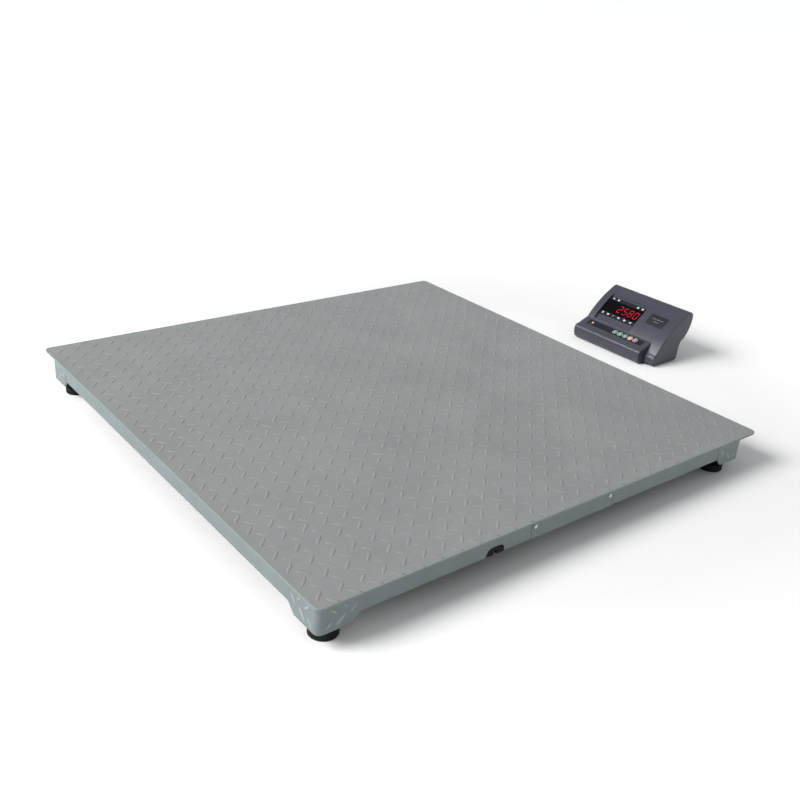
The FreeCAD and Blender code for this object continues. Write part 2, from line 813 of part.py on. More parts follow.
def housing_shell():
    body = round_ended(body_wire(), 0, indicator_width)
    ledge = round_ended(ledge_wire(), 0, ledge_length)
    outer = body.fuse(ledge).cut(recess_space(recess_left, recess_right, 0))
    body_hollow = Part.Face(body_wire()).makeOffset2D(-shell_wall, sharp_corners).OuterWire
    ledge_hollow = Part.Face(ledge_wire()).makeOffset2D(-shell_wall, sharp_corners).OuterWire
    hollow = swept(body_hollow, shell_wall, indicator_width - shell_wall)
    hollow = hollow.fuse(swept(ledge_hollow, shell_wall, ledge_length - shell_wall))
    hollow = hollow.cut(recess_space(recess_left - shell_wall, recess_right + shell_wall, shell_wall))
    return outer.cut(hollow)


def lower_region():
    """The base tray's share of the housing: its floor, and the rear wall up to the step."""
    floor = block(indicator_front - 1, indicator_left_y - indicator_width - 1, 0,
                  indicator_front + indicator_depth, indicator_left_y + 1, base_z + tray_step)
    rear = block(indicator_front + rear_wall_u, indicator_left_y - indicator_width - 1, 0,
                 indicator_front + indicator_depth, indicator_left_y + 1, rear_step_z)
    return floor.fuse(rear).removeSplitter()


def upper_housing(shell):
    shape = shell.cut(lower_region())
    for u, w in boss_places:
        boss = rod(boss_radius, place_uz(u, base_z + tray_step, w), Z, boss_length)
        shape = shape.fuse(boss.cut(rod(boss_tap_radius, place_uz(u, base_z, w), Z, boss_tap_depth)))
    low = along(window_foot, window_head, opening_end_margin)[1]
    high = along(window_foot, window_head, window_height - opening_end_margin)[1]
    shape = shape.cut(slab(low, high, -opening_reach, opening_reach,
                           window_left + opening_side_margin, window_right - opening_side_margin))
    for place in key_places():
        start = place - ledge_out * key_stem_depth
        shape = shape.cut(rod(key_hole_radius, start, ledge_out, 2 * key_stem_depth))
    return shape.removeSplitter()


def rear_block(w0, width, height, u0, u1):
    z0 = rear_centre_z - height / 2
    return block(indicator_front + u0, indicator_left_y - w0 - width, z0,
                 indicator_front + u1, indicator_left_y - w0, z0 + height)


def lower_housing(shell):
    shape = shell.common(lower_region())
    for u, w in boss_places:
        shape = shape.cut(rod(case_screw_hole, place_uz(u, 0, w), Z, base_z + 2 * tray_step))
        seat = base_z + case_head_height - case_head_sink
        shape = shape.cut(rod(case_head_hole, place_uz(u, 0, w), Z, seat))
    shape = shape.cut(rear_block(inlet_left, inlet_width, inlet_height, rear_wall_u, rear_cut_u))
    for left in socket_lefts:
        shape = shape.cut(rear_block(left, socket_width, socket_height, rear_wall_u, rear_cut_u))
    return shape.removeSplitter()


def housing_screws():
    screws = []
    for u, w in boss_places:
        head_bottom = base_z - case_head_sink
        head = rod(case_head_radius, place_uz(u, head_bottom, w), Z, case_head_height)
        shank = rod(boss_tap_radius, place_uz(u, head_bottom + case_head_height, w), Z, case_screw_length)
        screws.append(head.fuse(shank).removeSplitter())
    return screws


def indicator_feet():
    feet = []
    for u in rubber_places_u:
        for w in (rubber_inset_w, indicator_width - rubber_inset_w):
            foot = rod(rubber_radius, place_uz(u, 0, w), Z, rubber_height)
            rim = [e for e in foot.Edges if e.BoundBox.ZMax < tiny and e.Length > rubber_radius]
            feet.append(foot.makeFillet(rubber_round, rim))
    return feet


def power_inlet():
    """Mains socket: a framed well with three blades."""
    body = rear_block(inlet_left + socket_play, inlet_width - 2 * socket_play,
                      inlet_height - 2 * socket_play, inlet_front_u, socket_body_end_u)
    flange = rear_block(inlet_left - inlet_rim, inlet_width + 2 * inlet_rim,
                        inlet_height + 2 * inlet_rim, rear_face_u, inlet_flange_end_u)
    well = rear_block(inlet_left + inlet_rim, inlet_width - 2 * inlet_rim,
                      inlet_height - 2 * inlet_rim, inlet_well_u, inlet_well_end_u)
    shape = body.fuse(flange).cut(well)
    middle = inlet_left + inlet_width / 2
    for offset in (-blade_pitch, 0.0, blade_pitch):
        blade = rear_block(middle + offset - blade_width / 2, blade_width, blade_height,
                           blade_front_u, blade_end_u)
        shape = shape.fuse(blade)
    return shape.removeSplitter()


def data_sockets():
    sockets = []
    for left in socket_lefts:
        body = rear_block(left + socket_play, socket_width - 2 * socket_play,
                          socket_height - 2 * socket_play, socket_front_u, socket_body_end_u)
        flange = rear_block(left - socket_flange_side, socket_width + 2 * socket_flange_side,
                            socket_height + 2, rear_face_u, socket_flange_end_u)
        inset = socket_collar_inset
        collar = rear_block(left + inset, socket_width - 2 * inset,
                            socket_height - 2 * socket_wall, socket_body_end_u, socket_collar_end_u)
        inset = socket_collar_inset + socket_wall
        bore = rear_block(left + inset, socket_width - 2 * inset,
                          socket_height - 4 * socket_wall, socket_bore_u, socket_bore_end_u)
        sockets.append(body.fuse([flange, collar]).cut(bore).removeSplitter())
    return sockets


def display_window():
    return slab(window_foot, window_head, 0, window_thickness, window_left, window_right)


def display_module():
    """LED digit blocks on their board, standing up through the housing's window opening."""
    foot_board = along(window_foot, window_head, digit_board_end_margin)[1]
    head_board = along(window_foot, window_head, window_height - digit_board_end_margin)[1]
    board = slab(foot_board, head_board, -digit_board_depth - digit_board_thickness, -digit_board_depth,
                 window_left + digit_board_margin, window_right - digit_board_margin)
    low = along(window_foot, window_head, digit_end_margin)[1]
    high = along(window_foot, window_head, window_height - digit_end_margin)[1]
    pitch = (window_width - 2 * digit_side_margin) / digit_count
    for index in range(digit_count):
        left = window_left + digit_side_margin + index * pitch
        board = board.fuse(slab(low, high, -digit_board_depth, -digit_top,
                                left + digit_gap, left + pitch - digit_gap))
    return board.removeSplitter()


def keypad_overlay():
    reach = overlay_depth / 2
    start = (ledge_middle[0] - ledge_slope[0] * reach, ledge_middle[1] - ledge_slope[1] * reach)
    end = (ledge_middle[0] + ledge_slope[0] * reach, ledge_middle[1] + ledge_slope[1] * reach)
    sheet = slab(start, end, 0, overlay_thickness, overlay_left, overlay_right)
    for place in key_places():
        sheet = sheet.cut(rod(key_hole_radius, place - ledge_out, ledge_out, overlay_thickness + 2))
    return sheet


def key(place):
    """Round key cap with a softened rim and a stem down to its switch."""
    cap_bottom = place - ledge_out * (key_cap_depth - key_proud - overlay_thickness)
    cap = Part.makeCylinder(key_radius, key_cap_depth, Vector(0, 0, 0), Z)
    rim = [e for e in cap.Edges if e.BoundBox.ZMin > key_cap_depth - tiny and e.Length > key_radius]
    cap = cap.makeFillet(key_cap_round, rim)
    cap.Placement = Placement(cap_bottom, Rotation(Z, ledge_out))
    stem = rod(key_stem_radius, place - ledge_out * key_stem_depth, ledge_out, key_stem_depth - 2)
    return cap.fuse(stem).removeSplitter()


def label_plate():
    """Thin plate bent to the panel's curve, beside the display."""
    axis = place_uz(*panel_centre, w=label_left)
    outer = rod(panel_radius + label_thickness, axis, Y * -1, label_width)
    ring = outer.cut(rod(panel_radius, axis + Y, Y * -1, label_width + 2))
    tilt = math.atan2(window_slope[1], window_slope[0])
    middle = math.pi / 2 + tilt - math.radians(label_drop)
    half = label_height / 2 / panel_radius
    rays = []
    for angle in (middle - half, middle + half):
        rays.append((panel_centre[0] + far * math.cos(angle), panel_centre[1] + far * math.sin(angle)))
    outline = uz_wire([panel_centre, rays[0], rays[1], panel_centre])
    return ring.common(swept(outline, label_left - 1, label_left + label_width + 1))


def key_board():
    """Switch board under the ledge, one tact switch beneath each key."""
    depth = key_stem_depth + switch_gap
    reach = key_board_half_depth
    start = (ledge_middle[0] - ledge_slope[0] * reach, ledge_middle[1] - ledge_slope[1] * reach)
    end = (ledge_middle[0] + ledge_slope[0] * reach, ledge_middle[1] + ledge_slope[1] * reach)
    last = key_first + key_pitch * (len(key_names) - 1)
    board = slab(start, end, -depth, -depth + board_thickness,
                 key_first - key_board_end, last + key_board_end)
    for place in key_places():
        board = board.fuse(rod(switch_radius, place - ledge_out * (depth - 1), ledge_out, switch_height))
    return board.removeSplitter()


def inside_block(u, w, z0, z1):
    """A block inside the indicator, between two values of u and two of w."""
    return block(indicator_front + u[0], indicator_left_y - w[1], z0,
                 indicator_front + u[1], indicator_left_y - w[0], z1)


def main_board():
    floor = base_z + shell_wall
    top = main_board_z + board_thickness
    board = inside_block(main_board_u, main_board_w, main_board_z, top)
    chip = inside_block(chip_u, chip_w, top, chip_top)
    converter = inside_block(converter_u, converter_w, top, converter_top)
    posts = []
    for u in (main_board_u[0] + post_inset, main_board_u[1] - post_inset):
        for w in (main_board_w[0] + post_inset, main_board_w[1] - post_inset):
            posts.append(rod(post_radius, place_uz(u, floor, w), Z, main_board_z - floor))
    return board.fuse([chip, converter] + posts).removeSplitter()


def power_transformer():
    core = inside_block(core_u, core_w, base_z + shell_wall, core_top)
    coil = inside_block(coil_u, coil_w, *coil_z)
    return core.fuse(coil).removeSplitter()


def battery():
    case = inside_block(battery_u, battery_w, base_z + shell_wall, battery_top)
    middle = sum(battery_u) / 2
    posts = [rod(battery_terminal_radius, place_uz(middle, battery_top, w), Z, battery_terminal_height)
             for w in terminal_places_w]
    return case.fuse(posts).removeSplitter()


# ---- write the nodes ----
save("deck_plate", deck_plate())
save("front_skirt", front_skirt())
side_start = box_length_top + skirt_end_gap
side_run = frame_rear - frame_front - 2 * side_start
front_run = frame_right - frame_left - 2 * side_start
save("rear_skirt", skirt(Vector(frame_right - side_start, frame_rear, 0), 180, front_run))
save("left_skirt", skirt(Vector(frame_left, frame_rear - side_start, 0), 270, side_run))
save("right_skirt", skirt(Vector(frame_right, frame_front + side_start, 0), 90, side_run))
for number, rib_offset in enumerate(rib_offsets, start=1):
    save("deck_rib_%d" % number, deck_rib(rib_offset))

nuts = []
bolts = []
for corner, (right, rear) in corners.items():
    save("corner_box_" + corner, mirrored(corner_box(), right, rear))
    save("load_cell_" + corner, mirrored(load_cell(), right, rear))
    save("cell_plate_" + corner, mirrored(cell_plate(), right, rear))
    save("foot_stud_" + corner, mirrored(foot_stud(), right, rear))
    save("foot_pad_" + corner, mirrored(foot_pad(), right, rear))
    nuts.append(mirrored(locknut(), right, rear))
    for bolt_place in bolt_places():
        bolts.append(mirrored(cell_bolt(bolt_place), right, rear))
save("foot_locknuts", *nuts)
save("load_cell_bolts", *bolts)

save("access_cover", access_cover())
save("access_cover_screws", *cover_screws())
save("cable_outlet_grommet", outlet_grommet())
save("junction_box_body", junction_body())
save("junction_box_lid", junction_lid())
save("junction_box_screws", *junction_screws())
save("junction_box_glands", *junction_glands())
save("summing_board", summing_board())

indicator_shell = housing_shell()
save("indicator_upper_housing", upper_housing(indicator_shell))
save("indicator_lower_housing", lower_housing(indicator_shell))
save("indicator_feet", *indicator_feet())
save("housing_screws", *housing_screws())
save("display_window", display_window())
save("display_module", display_module())
save("keypad_overlay", keypad_overlay())
save("label_plate", label_plate())
save("key_board", key_board())
save("main_board", main_board())
save("battery", battery())
save("power_transformer", power_transformer())
save("power_inlet", power_inlet())
save("data_sockets", *data_sockets())
for key_name, key_place in zip(key_names, key_places()):
    save(key_name, key(key_place))
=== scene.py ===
import json
import math
import bmesh
import bpy
from mathutils import Matrix, Vector


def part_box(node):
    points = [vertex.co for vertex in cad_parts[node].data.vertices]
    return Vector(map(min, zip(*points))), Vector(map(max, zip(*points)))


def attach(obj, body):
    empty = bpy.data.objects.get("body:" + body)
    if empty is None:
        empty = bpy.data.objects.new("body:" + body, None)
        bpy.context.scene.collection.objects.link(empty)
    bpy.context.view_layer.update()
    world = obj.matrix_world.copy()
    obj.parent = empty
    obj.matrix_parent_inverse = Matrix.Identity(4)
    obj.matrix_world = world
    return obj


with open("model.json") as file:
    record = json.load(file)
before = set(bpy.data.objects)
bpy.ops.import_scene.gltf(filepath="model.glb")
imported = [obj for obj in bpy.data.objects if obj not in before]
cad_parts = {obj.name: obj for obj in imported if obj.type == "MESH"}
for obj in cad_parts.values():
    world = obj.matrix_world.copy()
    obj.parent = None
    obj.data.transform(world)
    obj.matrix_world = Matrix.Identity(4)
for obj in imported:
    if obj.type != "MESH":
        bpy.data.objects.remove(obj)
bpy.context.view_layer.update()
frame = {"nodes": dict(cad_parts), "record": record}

scene = bpy.context.scene
MM = 0.001
DECK_LO, DECK_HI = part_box("deck_plate")
SIDE = DECK_HI.x - DECK_LO.x
X, Y, UP = Vector((1, 0, 0)), Vector((0, 1, 0)), Vector((0, 0, 1))


# ---------------------------------------------------------------- materials

MIX_A, MIX_B, MIX_RESULT = 6, 7, 2        # sockets of a Mix node that mixes colours
BEVEL_SAMPLES = 4
EDGE_LOW, EDGE_HIGH = 0.02, 0.2           # how far the softened normal turns from the plain one
MID_LOW, MID_HIGH = 0.3, 0.7              # the band that holds nearly all values of a noise
SPECK_SIZE = 3                            # specks against the grain
SPECK_LOW, SPECK_HIGH, SPECK_DEPTH, SPECK_SHADE = 0.62, 0.72, 0.25, 0.72
FLANK_LOW, FLANK_HIGH = 0.5, 0.8          # how level a face is between an upright side and the top, for a side colour that is partly painted shade
GLOSS_PATCH, GLOSS_SPREAD = 0.4, 0.12     # gloss patches against colour patches, and their strength
WAVE_PATCH, WAVE_RELIEF = 0.3, 2          # slow waves against the colour patches and the grain's relief
SCRATCHES = (((1.0, 0.02, 1.0), 0.6, 0.67), ((0.02, 1.0, 1.0), 0.25, 0.69))   # stretch, turn, threshold
SCRATCH_SIZE, SCRATCH_FADE = 0.004, 0.06
SCUFF_PATCH, SCUFF_LOW, SCUFF_HIGH, SCUFF_SHADE = 0.16, 0.5, 0.66, 1.5
CHIP_SIZE, CHIP_LOW, CHIP_HIGH = 0.006, 0.42, 0.62
WORN_GLOSS = 0.12                         # added roughness where the paint is worn


class Shader:
    """A small builder of procedural materials in object coordinates."""

    def __init__(self, name):
        self.material = bpy.data.materials.new(name)
        self.material.use_nodes = True
        self.tree = self.material.node_tree
        self.tree.nodes.clear()
        self.out = self.add("ShaderNodeOutputMaterial")
        self.face = self.add("ShaderNodeBsdfPrincipled")
        self.tree.links.new(self.face.outputs[0], self.out.inputs[0])
        self.place = self.add("ShaderNodeTexCoord").outputs["Object"]

    def add(self, kind, **values):
        node = self.tree.nodes.new(kind)
        for key, value in values.items():
            setattr(node, key, value)
        return node

    def put(self, socket, value):
        if isinstance(value, bpy.types.NodeSocket):
            self.tree.links.new(value, socket)
        elif isinstance(value, tuple) and len(value) == 3 and socket.type == "RGBA":
            socket.default_value = (*value, 1.0)
        else:
            socket.default_value = value

    def stretched(self, scale, turn):
        """Object coordinates stretched, and turned about the vertical."""
        mapping = self.add("ShaderNodeMapping")
        self.put(mapping.inputs["Vector"], self.place)
        self.put(mapping.inputs["Scale"], scale)
        self.put(mapping.inputs["Rotation"], (0.0, 0.0, turn))
        return mapping.outputs[0]

    def noise(self, size, detail=3.0, rough=0.55, vector=None):
        """Noise whose features are about size metres across."""
        node = self.add("ShaderNodeTexNoise")
        self.put(node.inputs["Vector"], vector or self.place)
        self.put(node.inputs["Scale"], 1.0 / size)
        self.put(node.inputs["Detail"], detail)
        self.put(node.inputs["Roughness"], rough)
        return node.outputs[0]

    def ramp(self, value, low, high, to_low=0.0, to_high=1.0):
        node = self.add("ShaderNodeMapRange")
        for socket, number in zip(node.inputs, (value, low, high, to_low, to_high)):
            self.put(socket, number)
        return node.outputs[0]

    def sums(self, operation, a, b):
        node = self.add("ShaderNodeMath", operation=operation, use_clamp=True)
        self.put(node.inputs[0], a)
        self.put(node.inputs[1], b)
        return node.outputs[0]

    def mix(self, factor, a, b):
        node = self.add("ShaderNodeMix", data_type="RGBA")
        self.put(node.inputs["Factor"], factor)
        self.put(node.inputs[MIX_A], a)
        self.put(node.inputs[MIX_B], b)
        return node.outputs[MIX_RESULT]

    def soft_edges(self, radius):
        """The normal, rounded near edges."""
        node = self.add("ShaderNodeBevel", samples=BEVEL_SAMPLES)
        self.put(node.inputs["Radius"], radius)
        return node.outputs[0]

    def edge_mask(self, soft):
        """1 on sharp edges, 0 on open faces."""
        plain = self.add("ShaderNodeNewGeometry").outputs["Normal"]
        dot = self.add("ShaderNodeVectorMath", operation="DOT_PRODUCT")
        self.put(dot.inputs[0], soft)
        self.put(dot.inputs[1], plain)
        return self.ramp(dot.outputs["Value"], 1.0 - EDGE_LOW, 1.0 - EDGE_HIGH)

    def bump(self, height, distance, normal):
        node = self.add("ShaderNodeBump")
        self.put(node.inputs["Strength"], 1.0)
        self.put(node.inputs["Distance"], distance)
        self.put(node.inputs["Height"], height)
        self.put(node.inputs["Normal"], normal)
        return node.outputs[0]


def shade(colour, factor):
    return tuple(min(1.0, channel * factor) for channel in colour)


def speckled(s, colour, patch, mottle, grain):
    """The colour in paler and darker patches, with fine dark specks."""
    blotch = s.ramp(s.noise(patch, detail=5.0, rough=0.6), MID_LOW, MID_HIGH)
    base = s.mix(blotch, shade(colour, 1 - mottle), shade(colour, 1 + mottle))
    speck = s.ramp(s.noise(grain * SPECK_SIZE, detail=2.0), SPECK_LOW, SPECK_HIGH, 0.0, SPECK_DEPTH)
    return s.mix(speck, base, shade(colour, SPECK_SHADE))


def flank_shade_mask(s):
    """1 on upright faces, 0 on level ones: where the side colour goes, which is greener paint and partly
    painted shade.
    """
    facing = s.add("ShaderNodeSeparateXYZ")
    s.put(facing.inputs[0], s.add("ShaderNodeTexCoord").outputs["Normal"])
    level = s.sums("ABSOLUTE", facing.outputs["Z"], 0.0)
    return s.ramp(level, FLANK_LOW, FLANK_HIGH, 1.0, 0.0)


def scuff_mask(s, amount):
    """Fine scratches that run two ways, in some places only."""
    ways = []
    for stretch, turn, threshold in SCRATCHES:
        lines = s.noise(SCRATCH_SIZE, detail=2.0, rough=0.5, vector=s.stretched(stretch, turn))
        ways.append(s.ramp(lines, threshold, threshold + SCRATCH_FADE))
    where = s.ramp(s.noise(SCUFF_PATCH), SCUFF_LOW, SCUFF_HIGH, 0.0, amount)
    return s.sums("MULTIPLY", s.sums("MAXIMUM", *ways), where)


def wear_mask(s, soft, wear):
    """Edges with the paint chipped off here and there."""
    chips = s.ramp(s.noise(CHIP_SIZE, detail=4.0, rough=0.7), CHIP_LOW, CHIP_HIGH)
    return s.sums("MULTIPLY", s.edge_mask(soft), s.sums("MULTIPLY", chips, wear))


def surface(name, colour, rough, metal=0.0, patch=0.05, mottle=0.08, grain=0.0008, relief=0.00005,
            edge=0.0006, worn=None, wear=0.5, scuffs=0.0, specular=0.5, coat=0.0, glow=None,
            flank_paint_and_shade=None):
    """Mottled colour, uneven gloss, fine grain, softened and slightly worn edges, and where asked a darker
    side colour on upright faces that is partly painted shade.
    """
    s = Shader(name)
    base = speckled(s, colour, patch, mottle, grain)
    # painted shade: upright faces take the darker side colour
    if flank_paint_and_shade is not None:
        base = s.mix(flank_shade_mask(s), base, flank_paint_and_shade)
    gloss = s.ramp(s.noise(patch * GLOSS_PATCH, detail=4.0), MID_LOW, MID_HIGH,
                   rough * (1 - GLOSS_SPREAD), min(1.0, rough * (1 + GLOSS_SPREAD)))
    soft = s.soft_edges(edge)
    if scuffs:
        base = s.mix(scuff_mask(s, scuffs), base, shade(colour, SCUFF_SHADE))
    if worn is not None:
        mask = wear_mask(s, soft, wear)
        base = s.mix(mask, base, worn)
        gloss = s.sums("ADD", gloss, s.sums("MULTIPLY", mask, WORN_GLOSS))
    for socket, value in (("Base Color", base), ("Roughness", gloss), ("Metallic", metal),
                          ("Specular IOR Level", specular), ("Coat Weight", coat)):
        s.put(s.face.inputs[socket], value)
    wave = s.bump(s.noise(patch * WAVE_PATCH, detail=2.0), relief * WAVE_RELIEF, soft)
    s.put(s.face.inputs["Normal"], s.bump(s.noise(grain, detail=2.0), relief, wave))
    if glow is not None:
        s.put(s.face.inputs["Emission Color"], glow[0])
        s.put(s.face.inputs["Emission Strength"], glow[1])
    return s.material


def film(name, colour, specular):
    return surface(name, colour, 0.4, patch=0.02, mottle=0.15, grain=0.0004, relief=0.00001,
                   worn=(0.08, 0.08, 0.09), specular=specular)


def key_cap(name, colour, worn):
    return surface(name, colour, 0.42, patch=0.006, mottle=0.1, grain=0.0004, relief=0.00001, worn=worn)


def ink(name, colour, mottle=0.1):
    return surface(name, colour, 0.5, patch=0.003, mottle=mottle, grain=0.0003, relief=0.000004)


PALE_CHIP = (0.55, 0.57, 0.57)
LOOK = {
    # the deck's upright edges take a darker, greener colour: greener like the frame's paint, darker than
    # the top as painted shade
    "deck_paint": surface("deck_enamel", (0.197, 0.208, 0.207), 0.48, patch=0.12, mottle=0.07,
                          grain=0.0012, relief=0.00009, edge=0.0008, worn=PALE_CHIP, wear=0.22,
                          scuffs=0.5, flank_paint_and_shade=(0.155, 0.188, 0.194)),
    "frame_paint": surface("frame_enamel", (0.135, 0.168, 0.174), 0.45, patch=0.08, mottle=0.08,
                           grain=0.001, relief=0.00008, edge=0.0012, worn=PALE_CHIP, wear=0.55,
                           scuffs=0.25),
    "nickel_steel": surface("nickel_plate", (0.62, 0.61, 0.58), 0.3, metal=1.0, patch=0.02, mottle=0.08,
                            grain=0.0004, relief=0.00002, worn=(0.4, 0.38, 0.34)),
    "zinc_steel": surface("bright_zinc", (0.66, 0.67, 0.68), 0.32, metal=1.0, patch=0.008, mottle=0.12,
                          grain=0.0003, relief=0.00002, edge=0.0003, worn=(0.45, 0.44, 0.42)),
    "black_rubber": surface("matte_rubber", (0.005, 0.0065, 0.008), 0.72, patch=0.012, mottle=0.25,
                            grain=0.0005, relief=0.00006, worn=(0.04, 0.04, 0.04), specular=0.18),
    "junction_plastic": surface("junction_grey", (0.45, 0.46, 0.46), 0.5, patch=0.04,
                                worn=(0.6, 0.6, 0.6)),
    "black_plastic": surface("black_nylon", (0.028, 0.028, 0.03), 0.46, patch=0.015, mottle=0.15,
                             worn=(0.12, 0.12, 0.12)),
    "circuit_board": surface("green_board", (0.02, 0.13, 0.055), 0.36, patch=0.006, mottle=0.3,
                             coat=0.3),
    "housing_plastic": surface("charcoal_abs", (0.036, 0.039, 0.053), 0.32, mottle=0.07,
                               grain=0.00045, relief=0.000008, edge=0.0008, worn=(0.14, 0.145, 0.16),
                               wear=0.25, specular=0.42),
    "display_lens": surface("smoked_window", (0.0012, 0.0012, 0.0016), 0.12, patch=0.03, mottle=0.4,
                            relief=0.000002, specular=0.1),
    "digit_blocks": surface("digit_block", (0.05, 0.012, 0.012), 0.4, patch=0.01),
    "overlay_film": film("overlay_film", (0.01, 0.0095, 0.016), 0.22),
    "label_film": film("label_film", (0.012, 0.012, 0.017), 0.35),
    "green_key": key_cap("green_key", (0.014, 0.11, 0.075), (0.1, 0.3, 0.22)),
    "orange_key": key_cap("orange_key", (0.4, 0.19, 0.06), (0.7, 0.4, 0.2)),
    "red_key": key_cap("red_key", (0.2, 0.05, 0.075), (0.5, 0.2, 0.2)),
    "core_steel": surface("core_steel", (0.3, 0.29, 0.28), 0.42, metal=0.9, patch=0.01, mottle=0.12,
                          worn=(0.5, 0.49, 0.47)),
    "connector_steel": surface("connector_steel", (0.6, 0.6, 0.58), 0.3, metal=1.0, patch=0.006,
                               mottle=0.1, worn=(0.4, 0.4, 0.38)),
}
# The deck's lugs are a shade lighter than the deck's paint: a faint painted highlight; their paler edges
# are wear.
LUG_PAINT = surface("lug_enamel", (0.2, 0.212, 0.211), 0.42, patch=0.1, mottle=0.1, grain=0.001,
                    relief=0.00006, edge=0.0005, worn=(0.42, 0.44, 0.44), wear=0.2)
# Painted highlight: the corner boxes' lugs are much lighter than the frame's paint, for the light they
# catch; their paler edges are wear.
CORNER_LUG_HIGHLIGHT_PAINT = surface("corner_lug_painted_highlight", (0.23, 0.27, 0.27), 0.42, patch=0.06, mottle=0.1,
                          grain=0.001, relief=0.00006, edge=0.0005, worn=(0.5, 0.52, 0.52), wear=0.6)
PRINT_WHITE = ink("print_white", (0.78, 0.79, 0.8), 0.06)
PRINT_GREY = ink("print_grey", (0.2, 0.2, 0.22))
PRINT_ORANGE = ink("print_orange", (0.72, 0.36, 0.14))
STRIP_INK = surface("strip_ink", (0.012, 0.0125, 0.018), 0.35, patch=0.01, mottle=0.1, grain=0.0003,
                    relief=0.000004, specular=0.15)
LED_RED = surface("led_red", (0.5, 0.01, 0.02), 0.4, patch=0.004, mottle=0.1, grain=0.0003,
                  relief=0.000002, specular=0.2, glow=((1.0, 0.014, 0.05), 0.4))


for entry in frame["record"]["subparts"]:
    data = frame["nodes"][entry["node"]].data
    data.materials.clear()
    data.materials.append(LOOK[entry["material_slot"]])


# ---------------------------------------------------------------- geometry helpers

SHARP_ANGLE = math.radians(50)


def finished(mesh, name, material, body):
    """A bmesh becomes a named piece that rides on a body."""
    bmesh.ops.recalc_face_normals(mesh, faces=mesh.faces)
    data = bpy.data.meshes.new(name)
    mesh.to_mesh(data)
    mesh.free()
    data.materials.append(material)
    data.polygons.foreach_set("use_smooth", [True] * len(data.polygons))
    data.set_sharp_from_angle(angle=SHARP_ANGLE)
    piece = bpy.data.objects.new(name, data)
    scene.collection.objects.link(piece)
    bpy.context.view_layer.update()
    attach(piece, body)
    return piece


def join_rings(mesh, rows):
    """Faces between each closed row of vertices and the next."""
    count = len(rows[0])
    for low, high in zip(rows, rows[1:]):
        for i in range(count):
            j = (i + 1) % count
            mesh.faces.new((low[i], low[j], high[j], high[i]))


def rings_to_solid(mesh, rings, top):
    """Join rings of points into one closed solid: flat below, meeting at a point above."""
    rows = [[mesh.verts.new(point) for point in ring] for ring in rings]
    count = len(rows[0])
    mesh.faces.new(list(reversed(rows[0])))
    join_rings(mesh, rows)
    peak = mesh.verts.new(top)
    for i in range(count):
        mesh.faces.new((rows[-1][i], rows[-1][(i + 1) % count], peak))


def trim(mesh, point, normal):
    """Cut away what lies beyond a plane, and close the cut."""
    geometry = mesh.verts[:] + mesh.edges[:] + mesh.faces[:]
    cut = bmesh.ops.bisect_plane(mesh, geom=geometry, plane_co=point, plane_no=normal, clear_outer=True)
    edges = [e for e in cut["geom_cut"] if isinstance(e, bmesh.types.BMEdge)]
    bmesh.ops.contextual_create(mesh, geom=edges)
    bmesh.ops.holes_fill(mesh, edges=[e for e in mesh.edges if e.is_boundary])


# ---------------------------------------------------------------- checker plate

LUG_LENGTH, LUG_WIDTH, LUG_HEIGHT = 30 * MM, 7.0 * MM, 0.8 * MM
LUG_SINK = 0.3 * MM                 # how deep a lug's foot lies in the plate
LUG_STEPS = 6
LUG_TAPER = 2.6
LUG_RINGS = ((1.0, 0.0), (0.86, 0.45), (0.6, 0.86), (0.3, 0.98))   # shares of the width and the height
PITCH = 43.4 * MM
FIRST_X, FIRST_Y = 23.3 * MM, 32.5 * MM
SHIFT_X, SHIFT_Y = -0.66, -0.54     # the falling lugs against the rising ones, in pitches
RISING = (X + Y).normalized()
FALLING = (X - Y).normalized()
LUG_REACH = LUG_LENGTH * 0.3        # a lug centred this far outside the deck still shows on it
PLAIN_EDGE = 4.5 * MM               # the deck's edge without lugs


def lens_outline(length, width):
    """A long lens that narrows to a point at both ends."""
    half = []
    for i in range(LUG_STEPS + 1):
        s = -math.cos(math.pi * i / LUG_STEPS)
        half.append((s * length / 2, width / 2 * (1 - abs(s) ** LUG_TAPER)))
    return half + [(s, -t) for s, t in reversed(half[1:-1])]


def add_lug(mesh, centre, along, normal, size=1.0):
    """One raised bar of the checker plate, lying on a face with this normal."""
    across = normal.cross(along)
    outline = lens_outline(LUG_LENGTH * size, LUG_WIDTH * size)
    rings = [[centre + along * s + across * t - normal * LUG_SINK for s, t in outline]]
    for scale, rise in LUG_RINGS:
        keep = (1 + scale) / 2
        rings.append([centre + along * s * keep + across * t * scale + normal * LUG_HEIGHT * rise
                      for s, t in outline])
    rings_to_solid(mesh, rings, centre + normal * LUG_HEIGHT)


def near_deck(x, y):
    inside_x = DECK_LO.x - LUG_REACH < x < DECK_HI.x + LUG_REACH
    inside_y = DECK_LO.y - LUG_REACH < y < DECK_HI.y + LUG_REACH
    return inside_x and inside_y


def deck_lugs():
    mesh = bmesh.new()
    count = int(SIDE / PITCH) + 2
    for along, shift_x, shift_y in ((RISING, 0.0, 0.0), (FALLING, SHIFT_X, SHIFT_Y)):
        for i in range(count):
            for j in range(count):
                x = DECK_LO.x + FIRST_X + (i + shift_x) * PITCH
                y = DECK_LO.y + FIRST_Y + (j + shift_y) * PITCH
                if near_deck(x, y):
                    add_lug(mesh, Vector((x, y, DECK_HI.z)), along, UP)
    for corner, outward in ((DECK_LO, -X), (DECK_LO, -Y), (DECK_HI, X), (DECK_HI, Y)):
        trim(mesh, corner - outward * PLAIN_EDGE, outward)
    return finished(mesh, "deck_checker_lugs", LUG_PAINT, "platform")


# distance from the corner, height above the box's lower edge, tilt, and size
CORNER_LUGS = ((22 * MM, 14 * MM, 1, 0.66), (45 * MM, 17 * MM, 1, 0.92), (70 * MM, 31 * MM, 1, 0.8),
               (31 * MM, 38 * MM, -1, 0.62), (54 * MM, 41 * MM, -1, 0.5))


